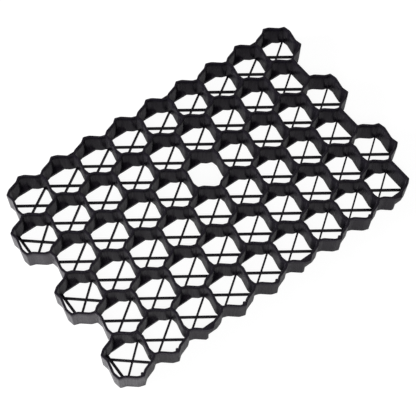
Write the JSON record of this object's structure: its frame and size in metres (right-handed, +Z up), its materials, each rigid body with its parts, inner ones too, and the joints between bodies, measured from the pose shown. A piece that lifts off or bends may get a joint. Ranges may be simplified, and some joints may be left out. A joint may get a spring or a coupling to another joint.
{
  "type": "grass paver grid",
  "caption": "Flat plastic ground grid of staggered six-sided cells with waved walls over crossed bottom ribs, for grass or gravel.",
  "frame": {"origin": "middle of the tile, on the face that it lies on", "axes": "+X along the long side towards the end where rows 1, 3 and 5 stand out, +Y across the tile towards row 1 and its tongues, +Z up through the cells"},
  "size_m": [0.6368, 0.4188, 0.042],
  "materials": {
    "plastic": "black, moulded, satin"
  },
  "bodies": {
    "root": {"paver_grid": "plastic"}
  },
  "joints": []
}
